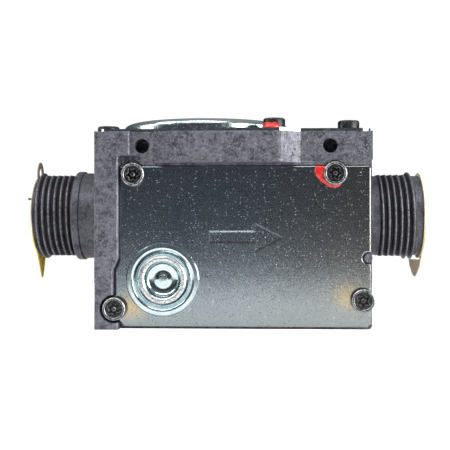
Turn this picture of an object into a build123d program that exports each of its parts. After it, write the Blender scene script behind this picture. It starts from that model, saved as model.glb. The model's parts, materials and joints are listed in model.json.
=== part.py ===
from build123d import *
from math import cos, radians, sin, tan
import os

# Gas control valve for a wall-hung boiler, in millimetres.
# Origin: centre of the inlet port's end face. +X runs along the gas flow from inlet to outlet,
# -Y faces the front cover plate, +Y the solenoids and the modulator, +Z the round diaphragm cover.

os.makedirs("parts", exist_ok=True)

# ---- ports: ISO 228 G 3/4 male threads ----
THREAD_R = 13.22
THREAD_PITCH = 1.814
THREAD_ROOT_R = THREAD_R - 0.640327 * THREAD_PITCH
THREAD_FLAT_Z = 12.25
CREST_LAND = 0.30
FLANK_RUN = (THREAD_R - THREAD_ROOT_R) * tan(radians(27.5))
PORT_BORE_R = 9.5
LENGTH = 115.7

# ---- cast body ----
BODY_X0, BODY_X1 = 20.3, 100.1
BODY_Z0, BODY_Z1 = -33.0, 24.0
REAR_Y = 38.0
SEAT_Y = -16.5
BAND_Y = -18.6
BAR_Y = -21.0
PAD_Y = -21.5
BAND_Z0 = 14.3
BODY_CORNER_R = 1.0
CAST_EDGE = 0.4
PAD_Z0 = 15.0
BAR_TOP_X1, RELIEF_Z1 = 30.5, 17.0
PAD_OUTLINE = [(37.0, BAND_Y + 1), (37.0, BAND_Y), (44.0, PAD_Y), (73.5, PAD_Y), (79.5, BAND_Y),
               (79.5, BAND_Y + 1)]

# ---- front cover plate ----
PLATE_THICK = 1.2
PLATE_EDGE_R = 0.35
GASKET_THICK = 0.8
PLATE_BACK_Y = SEAT_Y - GASKET_THICK
PLATE_Y = PLATE_BACK_Y - PLATE_THICK
PLATE_X0, PLATE_X1 = 27.4, 99.55
PLATE_Z0, PLATE_Z1 = -32.2, 14.1
PEG_X, PEG_Z, PEG_R, NOTCH_R = 98.9, -12.4, 1.15, 1.75
CORNER_SCREW_LL = (26.0, -27.0)
PLATE_SCREWS = [(31.4, 11.6), (89.3, 11.85), CORNER_SCREW_LL, (97.2, -24.4)]
EAR_R = 3.7
FIXING_HOLES = [(33.8, 19.9), (88.0, 19.9)]
FIXING_R, FIXING_DEPTH = 2.1, 7.5

# ---- valve axes ----
SAFETY = (39.8, -18.7)
PILOT = (39.8, 8.3)
MAIN = (50.9, 9.5)
MODULATOR = (78.5, -3.0)

# ---- chambers inside the body ----
FRONT_CHAMBER_Y1 = -3.0
REAR_CHAMBER_Y0, REAR_CHAMBER_Y1 = 0.0, 24.0
MIDDLE_FLOOR_Z, MIDDLE_TOP_Z = -28.0, -10.0
OUTLET_FLOOR_Z, OUTLET_TOP_Z = -7.0, 12.0
SAFETY_SEAT_R, SAFETY_SEAT_Y = 5.5, -4.0
MAIN_SEAT_R, MAIN_SEAT_Z = 6.5, -6.0
MAIN_STEM_R = 2.5
DIAPHRAGM_RIM_R, DIAPHRAGM_RIM_Z = 23.6, 19.0
DIAPHRAGM_ROOM_R, DIAPHRAGM_ROOM_Z = 20.0, 16.0

# ---- top cover ----
FLANGE_THICK = 1.0
DOME_R, DOME_TOP_Z, DOME_WALL = 26.4, 28.3, 1.2
STEP_X1 = 87.6
TOP_SCREWS = [(23.0, -12.0), (72.0, -15.0), (94.2, -8.0), (23.6, 31.5), (76.4, 33.0), (94.2, 31.0)]

# ---- screws ----
HEAD_R, HEAD_H = 3.4, 2.6
TOP_HEAD_R, TOP_HEAD_H = 3.2, 3.1
SUNK_SEAT_Z, SUNK_SEAT_R = 23.1, 3.5
SHANK_R, SHANK_HOLE_R = 1.6, 1.7
STAR_R, PIN_R = 1.95, 0.6

# ---- solenoids ----
TUBE_R, TUBE_BORE_R = 5.6, 5.0
TUBE_Y1 = 66.0
TUBE_HOLE_R = 5.65
PLUNGER_R = 4.93
CORE_R = 4.98
HOUSING_X0, HOUSING_X1 = 22.0, 58.0
HOUSING_Z0, HOUSING_Z1 = -32.3, 23.3
HOUSING_Y0, HOUSING_Y1 = 38.4, 70.4
HOUSING_WALL = 2.0
YOKE_Y0, YOKE_Y1, YOKE_WALL = 39.2, 67.2, 2.0
BOBBIN_Y0, BOBBIN_Y1 = 41.5, 64.9
SOCKET_X, SOCKET_Z, SOCKET_Y1 = 48.0, -5.0, 80.0
SAFETY_LIFT, PILOT_LIFT, MAIN_LIFT = 3.0, 1.0, 3.0

# ---- modulator ----
BASE_Y1 = 42.5
CAN_R, CAN_Y1 = 14.5, 62.0
NECK_R, NECK_Y1 = 8.0, 66.0
ADJUSTER_R = 6.0
MIN_SCREW_R = 2.0
REGULATOR_ROOM_R = 12.5
BASE_SCREW_SPAN = 27.0
CAP_Y0, CAP_Y1, CAP_WALL = 62.3, 73.8, 1.2

# ---- pressure test nipples ----
NIPPLES = {"inlet_test": (66.5, -27.0), "outlet_test": (91.5, -27.0)}
NIPPLE_R, NIPPLE_Y1 = 4.5, 49.0

# ---- dust seals on the ports ----
SEAL_THICK, SEAL_GAP = 0.4, 0.15
SEAL_R = 13.0


def front(y):
    """Plane at depth y facing the front, with its x along +X and its y along +Z."""
    return Plane.XZ.offset(-y)


def block(x0, x1, y0, y1, z0, z1, mode=Mode.ADD):
    """Box between two corners, added to the part that is being built."""
    with BuildSketch(front(y0)) as profile:
        with Locations(((x0 + x1) / 2, (z0 + z1) / 2)):
            Rectangle(x1 - x0, z1 - z0)
    extrude(profile.sketch, amount=-(y1 - y0), mode=mode)


def rod(centre, radius, y0, y1, mode=Mode.ADD):
    """Cylinder along Y between two depths, added to the part that is being built."""
    with BuildSketch(front(y0)) as profile:
        with Locations(centre):
            Circle(radius)
    extrude(profile.sketch, amount=-(y1 - y0), mode=mode)


def post(centre, radius, z0, z1, mode=Mode.ADD):
    """Cylinder along Z between two heights, added to the part that is being built."""
    with BuildSketch(Plane.XY.offset(z0)) as profile:
        with Locations(centre):
            Circle(radius)
    extrude(profile.sketch, amount=z1 - z0, mode=mode)


def save(builder, name):
    """Label a finished piece and write its STEP file."""
    builder.part.label = name
    export_step(builder.part, f"parts/{name}.step")


def spigot_outline(crests, tail):
    """Outline of a threaded port from its end face: chamfer, V ridges, then the given tail points."""
    points = [(0, 0), (0, THREAD_ROOT_R + 0.1)]
    for centre, land in crests:
        points += [
            (centre - land / 2 - FLANK_RUN, THREAD_ROOT_R),
            (centre - land / 2, THREAD_R),
            (centre + land / 2, THREAD_R),
            (centre + land / 2 + FLANK_RUN, THREAD_ROOT_R),
        ]
    return [p for p in points if p[0] >= 0] + tail


def thread_crests(first, first_land, count):
    """Crest centres and lands at the thread's pitch, after a wider first crest."""
    second = first + (first_land - CREST_LAND) / 2 + THREAD_PITCH
    return [(first, first_land)] + [(second + THREAD_PITCH * i, CREST_LAND) for i in range(count - 1)]


INLET_CRESTS = thread_crests(1.1, 1.2, 6)
OUTLET_CRESTS = thread_crests(2.4, 0.6, 6)

# ---- valve body: one casting with ports, chambers, seats and threaded holes ----
with BuildPart() as valve_body:
    with BuildSketch(front(SEAT_Y)):
        with Locations(((BODY_X0 + BODY_X1) / 2, (BODY_Z0 + BODY_Z1) / 2)):
            RectangleRounded(BODY_X1 - BODY_X0, BODY_Z1 - BODY_Z0, BODY_CORNER_R)
    extrude(amount=-(REAR_Y - SEAT_Y))
    # band above the plate
    with BuildSketch(front(BAND_Y)):
        with BuildLine():
            Polyline(
                (BODY_X0 + 2, BAND_Z0), (BODY_X1 - 1.6, BAND_Z0), (BODY_X1, BAND_Z0 + 1.6),
                (BODY_X1, BODY_Z1), (BODY_X0 + 2, BODY_Z1), close=True,
            )
        make_face()
    extrude(amount=-(SEAT_Y - BAND_Y))
    # raised bar down the left side, cut round the lower screw's ear
    with BuildSketch(front(BAR_Y)):
        with BuildLine():
            Polyline(
                (BODY_X0, BODY_Z1), (BAR_TOP_X1, BODY_Z1), (BAR_TOP_X1, RELIEF_Z1), (27.9, RELIEF_Z1),
                (27.2, 16.3), (27.2, -12.4), (25.7, -15.8), (25.7, -30.2), (27.2, -30.2), (27.2, BODY_Z0),
                (BODY_X0, BODY_Z0), close=True,
            )
        make_face()
    extrude(amount=-(SEAT_Y - BAR_Y))
    # raised pad on the band, with a long ramp on its left and a short one on its right
    with BuildSketch(Plane.XY.offset(PAD_Z0)):
        with BuildLine():
            Polyline(*PAD_OUTLINE, close=True)
        make_face()
    extrude(amount=BODY_Z1 - PAD_Z0)
    # soft cast edges round the bar and the pad
    for y in (BAR_Y, PAD_Y):
        chamfer(valve_body.faces().filter_by(Plane.XZ).filter_by_position(Axis.Y, y - 0.01, y + 0.01).edges(),
                CAST_EDGE)
    # ports
    with BuildSketch(Plane.XY):
        with BuildLine():
            Polyline(*spigot_outline(INLET_CRESTS, [
                (11.5, THREAD_ROOT_R), (11.8, 13.4), (12.1, 13.6), (13.8, 13.6), (14.1, 13.2),
                (16.8, 13.1), (18.9, 13.5), (20.5, 15.0), (20.5, 0),
            ]), close=True)
        make_face()
    revolve(axis=Axis.X)
    with BuildSketch(Plane.XY):
        with BuildLine():
            Polyline(*[(LENGTH - x, r) for x, r in spigot_outline(OUTLET_CRESTS, [
                (14.4, THREAD_ROOT_R), (15.1, 12.6), (15.8, 13.6), (15.8, 0),
            ])], close=True)
        make_face()
    revolve(axis=Axis.X)
    # flats along the parting line of the cast threads
    for x0, x1 in ((2.4, 11.4), (103.0, 112.5)):
        for z0, z1 in ((THREAD_FLAT_Z, 15.0), (-15.0, -THREAD_FLAT_Z)):
            block(x0, x1, -8.0, 8.0, z0, z1, Mode.SUBTRACT)
    # pocket round the ear of the lower left screw, reliefs at the upper screws, and the notch's peg
    rod(CORNER_SCREW_LL, EAR_R + 0.4, BAR_Y, SEAT_Y, Mode.SUBTRACT)
    with BuildSketch(Plane.XY.offset(BAND_Z0)):
        with BuildLine():
            Polyline((27.6, BAND_Y), (33.2, BAND_Y), (28.6, PLATE_BACK_Y), (27.6, PLATE_BACK_Y), close=True)
        make_face()
    extrude(amount=RELIEF_Z1 - BAND_Z0, mode=Mode.SUBTRACT)
    for centre in PLATE_SCREWS[:2]:
        rod(centre, HEAD_R + 0.4, BAND_Y, PLATE_BACK_Y, Mode.SUBTRACT)
    rod((PEG_X, PEG_Z), PEG_R, PLATE_Y + 0.1, SEAT_Y)
    # ejector marks
    for centre, radius, y in (((22.9, 12.0), 2.0, BAR_Y), ((96.6, 18.6), 2.9, BAND_Y)):
        rod(centre, radius, y, y + 0.25, Mode.SUBTRACT)
    # front chambers, joined to the ports by the bores
    block(31.0, 57.0, SEAT_Y, FRONT_CHAMBER_Y1, -29.0, 9.0, Mode.SUBTRACT)
    block(61.0, 93.0, SEAT_Y, FRONT_CHAMBER_Y1, -27.0, 8.5, Mode.SUBTRACT)
    for x0, x1 in ((0.0, 35.2), (62.0, LENGTH)):
        with BuildSketch(Plane.YZ.offset(x0)):
            Circle(PORT_BORE_R)
        extrude(amount=x1 - x0, mode=Mode.SUBTRACT)
    # rear chambers: middle one below the main seat, outlet one above it
    block(31.0, 72.0, REAR_CHAMBER_Y0, REAR_CHAMBER_Y1, MIDDLE_FLOOR_Z, MIDDLE_TOP_Z, Mode.SUBTRACT)
    block(38.4, 93.0, REAR_CHAMBER_Y0, REAR_CHAMBER_Y1, OUTLET_FLOOR_Z, OUTLET_TOP_Z, Mode.SUBTRACT)
    block(62.0, 93.0, FRONT_CHAMBER_Y1 - 1, REAR_CHAMBER_Y0 + 1, OUTLET_FLOOR_Z, 8.5, Mode.SUBTRACT)
    # valve seats and their raised rims
    rod(SAFETY, SAFETY_SEAT_R + 1.9, SAFETY_SEAT_Y, FRONT_CHAMBER_Y1)
    rod(SAFETY, SAFETY_SEAT_R, SAFETY_SEAT_Y, REAR_CHAMBER_Y0, Mode.SUBTRACT)
    post(MAIN, MAIN_SEAT_R + 1.7, OUTLET_FLOOR_Z, MAIN_SEAT_Z)
    post(MAIN, MAIN_SEAT_R, MIDDLE_TOP_Z, MAIN_SEAT_Z, Mode.SUBTRACT)
    # diaphragm rooms and the stem's guide
    post(MAIN, DIAPHRAGM_RIM_R, DIAPHRAGM_RIM_Z, BODY_Z1, Mode.SUBTRACT)
    post(MAIN, DIAPHRAGM_ROOM_R, DIAPHRAGM_ROOM_Z, DIAPHRAGM_RIM_Z, Mode.SUBTRACT)
    post(MAIN, MAIN_STEM_R + 0.05, OUTLET_TOP_Z, DIAPHRAGM_ROOM_Z, Mode.SUBTRACT)
    # bores for the guide tubes, with a counterbore for each O-ring
    for centre, tube_y0, gas_r in ((SAFETY, 26.0, 2.2), (PILOT, 29.0, 1.0)):
        rod(centre, TUBE_HOLE_R, tube_y0, REAR_Y, Mode.SUBTRACT)
        rod(centre, 7.1, REAR_Y - 1.6, REAR_Y, Mode.SUBTRACT)
        rod(centre, gas_r, REAR_CHAMBER_Y1, tube_y0, Mode.SUBTRACT)
    rod(PILOT, 4.0, 27.5, 29.0, Mode.SUBTRACT)
    # regulator room and the nipples' holes
    rod(MODULATOR, REGULATOR_ROOM_R, 35.0, REAR_Y, Mode.SUBTRACT)
    rod(MODULATOR, 1.2, REAR_CHAMBER_Y1, 35.0, Mode.SUBTRACT)
    for centre in NIPPLES.values():
        rod(centre, 3.5, 33.0, REAR_Y, Mode.SUBTRACT)
    rod(NIPPLES["inlet_test"], 1.0, REAR_CHAMBER_Y1, 33.0, Mode.SUBTRACT)
    rod(NIPPLES["outlet_test"], 1.0, FRONT_CHAMBER_Y1 - 1, 33.0, Mode.SUBTRACT)
    # tapped holes
    for centre in PLATE_SCREWS:
        rod(centre, SHANK_HOLE_R, SEAT_Y, SEAT_Y + 8.0, Mode.SUBTRACT)
    for centre in TOP_SCREWS:
        post(centre, SHANK_HOLE_R, BODY_Z1 - 9.5, BODY_Z1, Mode.SUBTRACT)
    post(TOP_SCREWS[0], SUNK_SEAT_R, SUNK_SEAT_Z, BODY_Z1, Mode.SUBTRACT)
    for dx, dz in ((-1, -1), (-1, 1), (1, -1), (1, 1)):
        centre = (MODULATOR[0] + dx * BASE_SCREW_SPAN / 2, MODULATOR[1] + dz * BASE_SCREW_SPAN / 2)
        rod(centre, SHANK_HOLE_R, REAR_Y - 7.0, REAR_Y, Mode.SUBTRACT)
    for centre in FIXING_HOLES:
        rod(centre, FIXING_R, PAD_Y, BAND_Y + FIXING_DEPTH, Mode.SUBTRACT)
    # shallow cored pockets in the underside
    for x0, x1 in ((28.0, 54.0), (64.0, 93.0)):
        with BuildSketch(Plane.XY.offset(BODY_Z0)):
            with Locations(((x0 + x1) / 2, 12.0)):
                RectangleRounded(x1 - x0, 34.0, 3.0)
        extrude(amount=1.5, mode=Mode.SUBTRACT)
save(valve_body, "valve_body")


def plate_outline():
    """Outline of the cover plate and gasket: notched rectangle with an ear at its lower left."""
    with BuildLine() as outline:
        Polyline(
            (PLATE_X0, PLATE_Z1), (PLATE_X1 - 0.6, PLATE_Z1), (PLATE_X1, PLATE_Z1 - 0.6),
            (PLATE_X1, PLATE_Z0 + 0.9), (PLATE_X1 - 0.9, PLATE_Z0), (28.6, PLATE_Z0),
            (26.8, -30.3), (26.1, -28.5), (26.1, -16.0), (PLATE_X0, -13.1), close=True,
        )
    make_face(outline.edges())
    with Locations(CORNER_SCREW_LL):
        Circle(EAR_R)
    with Locations((PEG_X, PEG_Z)):
        Circle(NOTCH_R, mode=Mode.SUBTRACT)
    with Locations((PEG_X + NOTCH_R, PEG_Z)):
        Rectangle(2 * NOTCH_R, 2 * NOTCH_R - 0.6, mode=Mode.SUBTRACT)
    with Locations(*PLATE_SCREWS):
        Circle(SHANK_HOLE_R, mode=Mode.SUBTRACT)


# ---- gasket under the plate, open over both front chambers ----
with BuildPart() as front_gasket:
    with BuildSketch(front(PLATE_BACK_Y)):
        plate_outline()
    extrude(amount=-GASKET_THICK)
    block(31.0, 57.0, PLATE_BACK_Y, SEAT_Y, -29.0, 9.0, Mode.SUBTRACT)
    block(61.0, 93.0, PLATE_BACK_Y, SEAT_Y, -27.0, 8.5, Mode.SUBTRACT)
save(front_gasket, "front_gasket")

# ---- cover plate: pressed sheet with a spring cup and a flow arrow ----
CUP_R = 10.6
# radius from the cup's centre and height of the outer skin above the plate
CUP_STEP = [(CUP_R, 0.0), (10.3, 0.35), (9.2, 0.35)]
CUP_BOWL = [(9.2, 0.35), (8.5, 0.05), (7.75, -0.8), (6.9, 0.45), (6.15, 0.75), (5.4, 0.5), (4.6, -0.8),
            (3.3, -1.35), (1.5, -1.2), (0.9, -0.8), (0.0, -0.6)]
ARROW_HEIGHT = 0.35
with BuildPart() as front_cover:
    with BuildSketch(front(PLATE_Y)):
        plate_outline()
        with Locations(SAFETY):
            Circle(CUP_R, mode=Mode.SUBTRACT)
    extrude(amount=-PLATE_THICK)
    fillet(front_cover.faces().sort_by(Axis.Y)[0].outer_wire().edges(), PLATE_EDGE_R)
    with BuildSketch(Plane.XY.offset(SAFETY[1])):
        with BuildLine():
            for depth in (PLATE_Y, PLATE_BACK_Y):
                Polyline(*[(SAFETY[0] + r, depth - h) for r, h in CUP_STEP])
                Spline(*[(SAFETY[0] + r, depth - h) for r, h in CUP_BOWL], tangents=((-1, 0), (-1, 0)))
            for r, h in (CUP_STEP[0], CUP_BOWL[-1]):
                Line((SAFETY[0] + r, PLATE_Y - h), (SAFETY[0] + r, PLATE_BACK_Y - h))
        make_face()
    revolve(axis=Axis((SAFETY[0], 0, SAFETY[1]), (0, 1, 0)))
    for depth, mode in ((PLATE_Y - ARROW_HEIGHT, Mode.ADD), (PLATE_BACK_Y - ARROW_HEIGHT, Mode.SUBTRACT)):
        with BuildSketch(front(depth)):
            with BuildLine():
                Polyline((53.7, -5.1), (66.75, -5.1), (66.75, -3.05), (73.6, -6.5), (66.75, -10.05),
                         (66.75, -7.55), (53.7, -7.55), close=True)
            make_face()
        extrude(amount=-ARROW_HEIGHT, mode=mode)
save(front_cover, "front_cover")


def star_screw(head_r, head_h, shank_length):
    """Pan-head screw with a six-lobe recess and a tamper pin, head up, underside at the origin."""
    with BuildPart() as screw:
        Cylinder(head_r, head_h, align=(Align.CENTER, Align.CENTER, Align.MIN))
        fillet(screw.edges().sort_by(Axis.Z)[-1], head_h * 0.22)
        with BuildSketch(Plane.XY.offset(head_h - 1.5)):
            Circle(STAR_R * 0.78)
            with PolarLocations(STAR_R * 0.74, 6):
                Circle(STAR_R * 0.26)
        extrude(amount=2.0, mode=Mode.SUBTRACT)
        with Locations((0, 0, head_h - 1.5)):
            Cylinder(PIN_R, 1.3, align=(Align.CENTER, Align.CENTER, Align.MIN))
        Cylinder(SHANK_R, shank_length, align=(Align.CENTER, Align.CENTER, Align.MAX))
    return screw.part


# ---- screws of the cover plate ----
plate_screw = star_screw(HEAD_R, HEAD_H, 8.0)
with BuildPart() as front_cover_screws:
    with Locations(*[front(PLATE_Y).location * Location((x, z, 0)) for x, z in PLATE_SCREWS]):
        add(plate_screw)
save(front_cover_screws, "front_cover_screws")

# ---- hardened lacquer over one plate screw and one cover screw ----
with BuildPart() as tamper_seal_lacquer:
    with BuildSketch(front(PLATE_Y - 0.5)):
        with BuildLine():
            Polyline(
                (87.0, 14.0), (83.9, 14.0), (83.5, 12.9), (83.6, 11.8), (84.7, 10.3), (86.7, 8.7),
                (88.7, 7.7), (90.7, 8.3), (90.0, 10.0), close=True,
            )
        make_face()
        with Locations(PLATE_SCREWS[1]):
            Circle(HEAD_R + 0.05, mode=Mode.SUBTRACT)
    extrude(amount=-0.5)
    with BuildSketch(Plane.XY.offset(BODY_Z1 + FLANGE_THICK)):
        with Locations((71.3, -16.4)):
            Circle(2.9)
        with Locations(TOP_SCREWS[1]):
            Circle(TOP_HEAD_R + 0.05, mode=Mode.SUBTRACT)
    extrude(amount=1.7)
save(tamper_seal_lacquer, "tamper_seal_lacquer")

# ---- top cover: flange, round dome and a low step over the servo channels ----
FLANGE_X0, FLANGE_X1, FLANGE_Y0, FLANGE_Y1 = 20.9, 99.9, -17.4, 37.4
FLANGE_INSET = BAND_Y - FLANGE_Y0
with BuildPart() as diaphragm_cover:
    with BuildSketch(Plane.XY.offset(BODY_Z1)):
        with Locations(((FLANGE_X0 + FLANGE_X1) / 2, (FLANGE_Y0 + FLANGE_Y1) / 2)):
            RectangleRounded(FLANGE_X1 - FLANGE_X0, FLANGE_Y1 - FLANGE_Y0, 3.0)
        # its front edge follows the pad below
        with BuildLine():
            Polyline(*[(x, y - FLANGE_INSET) for x, y in PAD_OUTLINE], close=True)
        make_face()
    extrude(amount=FLANGE_THICK)
    with BuildSketch(Plane.XZ.offset(-MAIN[1])):
        with BuildLine():
            Polyline((70.0, BODY_Z1), (STEP_X1, BODY_Z1), (STEP_X1, BODY_Z1 + 1.2),
                     (STEP_X1 - 1.6, BODY_Z1 + 2.2), (70.0, BODY_Z1 + 2.2), close=True)
        make_face()
    extrude(amount=15.0, both=True)
    post(MAIN, DOME_R, BODY_Z1, DOME_TOP_Z)
    fillet(diaphragm_cover.edges().filter_by(GeomType.CIRCLE).sort_by(Axis.Z)[-1], 1.9)
    post(MAIN, DOME_R - DOME_WALL, BODY_Z1, DOME_TOP_Z - DOME_WALL, Mode.SUBTRACT)
    for centre in TOP_SCREWS:
        post(centre, SHANK_HOLE_R, BODY_Z1, BODY_Z1 + 3, Mode.SUBTRACT)
    post(TOP_SCREWS[0], SUNK_SEAT_R, BODY_Z1, BODY_Z1 + FLANGE_THICK, Mode.SUBTRACT)
save(diaphragm_cover, "diaphragm_cover")

# the front left one sits lower, in the casting itself
top_screw = star_screw(TOP_HEAD_R, TOP_HEAD_H, 8.0)
with BuildPart() as diaphragm_cover_screws:
    with Locations(*[Location((x, y, BODY_Z1 + FLANGE_THICK)) for x, y in TOP_SCREWS[1:]]):
        add(top_screw)
    with Locations(Location((*TOP_SCREWS[0], SUNK_SEAT_Z))):
        add(top_screw)
save(diaphragm_cover_screws, "diaphragm_cover_screws")

# ---- servo diaphragm and what it carries ----
MEMBRANE_Z = 19.3
MEMBRANE_THICK = 0.6
with BuildPart() as servo_diaphragm:
    post(MAIN, DIAPHRAGM_RIM_R - 0.2, DIAPHRAGM_RIM_Z, DIAPHRAGM_RIM_Z + 1.0)
    post(MAIN, DIAPHRAGM_ROOM_R - 1.0, DIAPHRAGM_RIM_Z, MEMBRANE_Z, Mode.SUBTRACT)
    post(MAIN, DIAPHRAGM_ROOM_R - 1.0, MEMBRANE_Z + MEMBRANE_THICK, DIAPHRAGM_RIM_Z + 1.0, Mode.SUBTRACT)
    post(MAIN, MAIN_STEM_R + 0.1, MEMBRANE_Z, MEMBRANE_Z + MEMBRANE_THICK, Mode.SUBTRACT)
save(servo_diaphragm, "servo_diaphragm")

with BuildPart() as diaphragm_clamp_ring:
    post(MAIN, DIAPHRAGM_RIM_R - 0.2, DIAPHRAGM_RIM_Z + 1.0, BODY_Z1)
    post(MAIN, DIAPHRAGM_RIM_R - 3.2, DIAPHRAGM_RIM_Z + 1.0, BODY_Z1, Mode.SUBTRACT)
save(diaphragm_clamp_ring, "diaphragm_clamp_ring")

PLATE_DISC_Z0, PLATE_DISC_Z1 = 20.0, 21.4
with BuildPart() as diaphragm_disc:
    post(MAIN, 15.0, PLATE_DISC_Z0, PLATE_DISC_Z1)
    fillet(diaphragm_disc.edges().sort_by(Axis.Z)[-1], 0.5)
    post(MAIN, MAIN_STEM_R, PLATE_DISC_Z0, PLATE_DISC_Z1, Mode.SUBTRACT)
save(diaphragm_disc, "diaphragm_disc")

MAIN_SEAL_THICK, MAIN_DISC_THICK = 1.4, 1.8
MAIN_SEAL_Z = MAIN_SEAT_Z + 0.05
MAIN_DISC_Z = MAIN_SEAL_Z + MAIN_SEAL_THICK
with BuildPart() as main_valve_stem:
    post(MAIN, MAIN_STEM_R, MAIN_SEAL_Z, 22.4)
    post(MAIN, 6.0, 17.6, MEMBRANE_Z - 0.1)
    post(MAIN, 3.6, MAIN_DISC_Z + MAIN_DISC_THICK, MAIN_DISC_Z + MAIN_DISC_THICK + 1.2)
save(main_valve_stem, "main_valve_stem")

with BuildPart() as main_valve_disc:
    post(MAIN, 9.3, MAIN_DISC_Z, MAIN_DISC_Z + MAIN_DISC_THICK)
    post(MAIN, MAIN_STEM_R, MAIN_DISC_Z, MAIN_DISC_Z + MAIN_DISC_THICK, Mode.SUBTRACT)
save(main_valve_disc, "main_valve_disc")

with BuildPart() as main_valve_seal:
    post(MAIN, 9.0, MAIN_SEAL_Z, MAIN_DISC_Z)
    post(MAIN, MAIN_STEM_R, MAIN_SEAL_Z, MAIN_DISC_Z, Mode.SUBTRACT)
save(main_valve_seal, "main_valve_seal")


def coil_spring(start, direction, length, radius, wire_r, turns):
    """Helical spring from a start point along a direction, made of round wire."""
    height = length - 2 * wire_r
    with BuildPart() as spring:
        with BuildLine() as path:
            Helix(height / turns, height, radius, Vector(*start) + Vector(*direction) * wire_r, direction)
        with BuildSketch(Plane(origin=path.line @ 0, z_dir=path.line % 0)):
            Circle(wire_r)
        sweep(path=path.line, is_frenet=True)
    return spring


# ---- springs ----
SAFETY_DISC_Y0, SAFETY_DISC_Y1 = -7.4, -5.65
MODULATOR_PLUNGER_Y0, MODULATOR_PLUNGER_Y1 = 45.0, 56.0
PILOT_PLUNGER_Y1 = 47.0
save(coil_spring((MAIN[0], MAIN[1], PLATE_DISC_Z1 + 0.05), (0, 0, 1), 5.6, 7.0, 0.35, 3.5),
     "diaphragm_spring")
save(coil_spring((SAFETY[0], SAFETY_DISC_Y0 - 0.05, SAFETY[1]), (0, -1, 0), 10.4, 6.1, 0.45, 5.0),
     "safety_valve_spring")
save(coil_spring((PILOT[0], PILOT_PLUNGER_Y1 + 0.05, PILOT[1]), (0, 1, 0), 6.8, 1.6, 0.2, 6.0),
     "pilot_valve_spring")
save(coil_spring((MODULATOR[0], MODULATOR_PLUNGER_Y1 + 0.05, MODULATOR[1]), (0, 1, 0), 4.5, 3.2, 0.25, 4.0),
     "modulator_spring")

# ---- safety valve ----
with BuildPart() as safety_valve_seal:
    rod(SAFETY, 8.2, SAFETY_DISC_Y1, SAFETY_SEAT_Y - 0.05)
    rod(SAFETY, 1.5, SAFETY_DISC_Y1, SAFETY_SEAT_Y - 0.05, Mode.SUBTRACT)
save(safety_valve_seal, "safety_valve_seal")

with BuildPart() as safety_valve_disc:
    rod(SAFETY, 8.5, SAFETY_DISC_Y0, SAFETY_DISC_Y1)
    rod(SAFETY, 1.5, SAFETY_DISC_Y0, SAFETY_DISC_Y1, Mode.SUBTRACT)
    rod(SAFETY, 4.6, SAFETY_DISC_Y0 - 1.2, SAFETY_DISC_Y0)
save(safety_valve_disc, "safety_valve_disc")

SAFETY_PLUNGER_Y0, SAFETY_PLUNGER_Y1 = 51.0, 64.5
SAFETY_CORE_Y0, SAFETY_CORE_Y1 = 30.0, SAFETY_PLUNGER_Y0 - SAFETY_LIFT - 0.4
with BuildPart() as safety_push_rod:
    rod(SAFETY, 1.5, SAFETY_DISC_Y0, SAFETY_PLUNGER_Y0)
save(safety_push_rod, "safety_push_rod")

with BuildPart() as safety_plunger:
    rod(SAFETY, PLUNGER_R, SAFETY_PLUNGER_Y0, SAFETY_PLUNGER_Y1)
    chamfer(safety_plunger.edges().filter_by(GeomType.CIRCLE), 0.4)
save(safety_plunger, "safety_plunger")

# ---- pilot valve ----
PILOT_PLUNGER_Y0 = 31.0
with BuildPart() as pilot_plunger:
    rod(PILOT, PLUNGER_R, PILOT_PLUNGER_Y0, PILOT_PLUNGER_Y1)
    chamfer(pilot_plunger.edges().filter_by(GeomType.CIRCLE), 0.4)
save(pilot_plunger, "pilot_plunger")

with BuildPart() as pilot_valve_seal:
    rod(PILOT, 3.4, 27.55, PILOT_PLUNGER_Y0)
save(pilot_valve_seal, "pilot_valve_seal")

# ---- fixed cores and guide tubes ----
with BuildPart() as safety_fixed_core:
    rod(SAFETY, CORE_R, SAFETY_CORE_Y0, SAFETY_CORE_Y1)
    rod(SAFETY, 1.56, SAFETY_CORE_Y0, SAFETY_CORE_Y1, Mode.SUBTRACT)
save(safety_fixed_core, "safety_fixed_core")

PILOT_CORE_Y0 = PILOT_PLUNGER_Y1 + PILOT_LIFT + 0.3
with BuildPart() as pilot_fixed_core:
    rod(PILOT, CORE_R, PILOT_CORE_Y0, TUBE_Y1 - 1.0)
    rod(PILOT, 2.2, PILOT_CORE_Y0, PILOT_PLUNGER_Y1 + 7.0, Mode.SUBTRACT)
save(pilot_fixed_core, "pilot_fixed_core")

for name, centre, tube_y0 in (("safety_guide_tube", SAFETY, 26.0), ("pilot_guide_tube", PILOT, 29.0)):
    with BuildPart() as guide_tube:
        rod(centre, TUBE_R, tube_y0, TUBE_Y1 + 1.0)
        rod(centre, TUBE_BORE_R, tube_y0, TUBE_Y1, Mode.SUBTRACT)
        rod(centre, 2.5, TUBE_Y1 + 1.0, 75.0)
    save(guide_tube, name)

with BuildPart() as guide_tube_o_rings:
    for x, z in (SAFETY, PILOT):
        with BuildSketch(Plane.XY.offset(z)):
            with Locations((x + 6.35, REAR_Y - 0.8)):
                Circle(0.7)
        revolve(axis=Axis((x, 0, z), (0, 1, 0)))
save(guide_tube_o_rings, "guide_tube_o_rings")

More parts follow.
